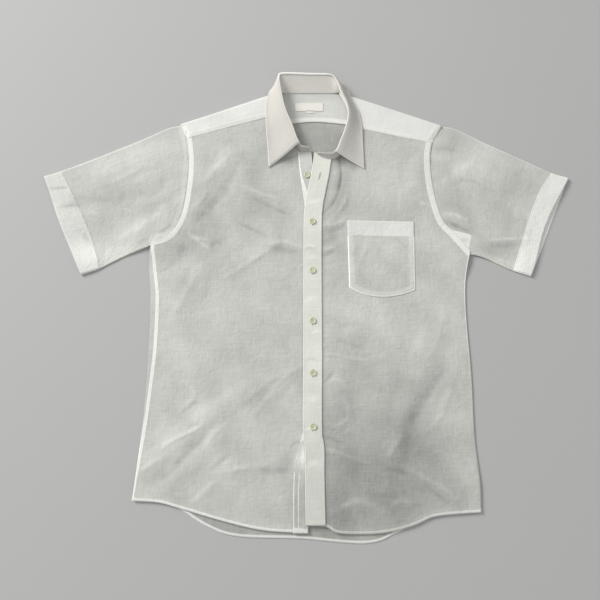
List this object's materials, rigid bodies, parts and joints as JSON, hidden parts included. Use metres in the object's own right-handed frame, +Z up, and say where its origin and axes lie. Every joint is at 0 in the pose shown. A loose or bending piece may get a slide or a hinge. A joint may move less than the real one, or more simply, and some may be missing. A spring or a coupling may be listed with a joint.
{
  "type": "short-sleeve shirt",
  "caption": "Short-sleeved shirt of sheer plain-weave cloth, buttoned and laid flat on its back, with a turned-down collar, a placket front and a chest pocket.",
  "frame": {"origin": "centre of the shirt's outline, on the surface that it lies on", "axes": "+Y towards the collar, +X towards the wearer's left sleeve, +Z up from the surface"},
  "size_m": [0.95, 0.8284, 0.0243],
  "materials": {
    "sheer_cloth": "sheer white plain weave, matt",
    "doubled_cloth": "white plain weave in two or more layers, matt",
    "label_satin": "woven label, slight sheen",
    "button_shell": "polished, greenish ivory"
  },
  "bodies": {
    "root": {"back_panel": "sheer_cloth", "left_front": "sheer_cloth", "right_front": "sheer_cloth", "left_sleeve": "sheer_cloth", "right_sleeve": "sheer_cloth", "chest_pocket": "sheer_cloth", "yoke": "doubled_cloth", "inner_yoke": "doubled_cloth", "button_band": "doubled_cloth", "placket": "doubled_cloth", "collar_band": "doubled_cloth", "collar_fall": "doubled_cloth", "neck_label": "label_satin", "size_tab": "label_satin", "button_1": "button_shell", "button_2": "button_shell", "button_3": "button_shell", "button_4": "button_shell", "button_5": "button_shell", "button_6": "button_shell"}
  },
  "joints": []
}
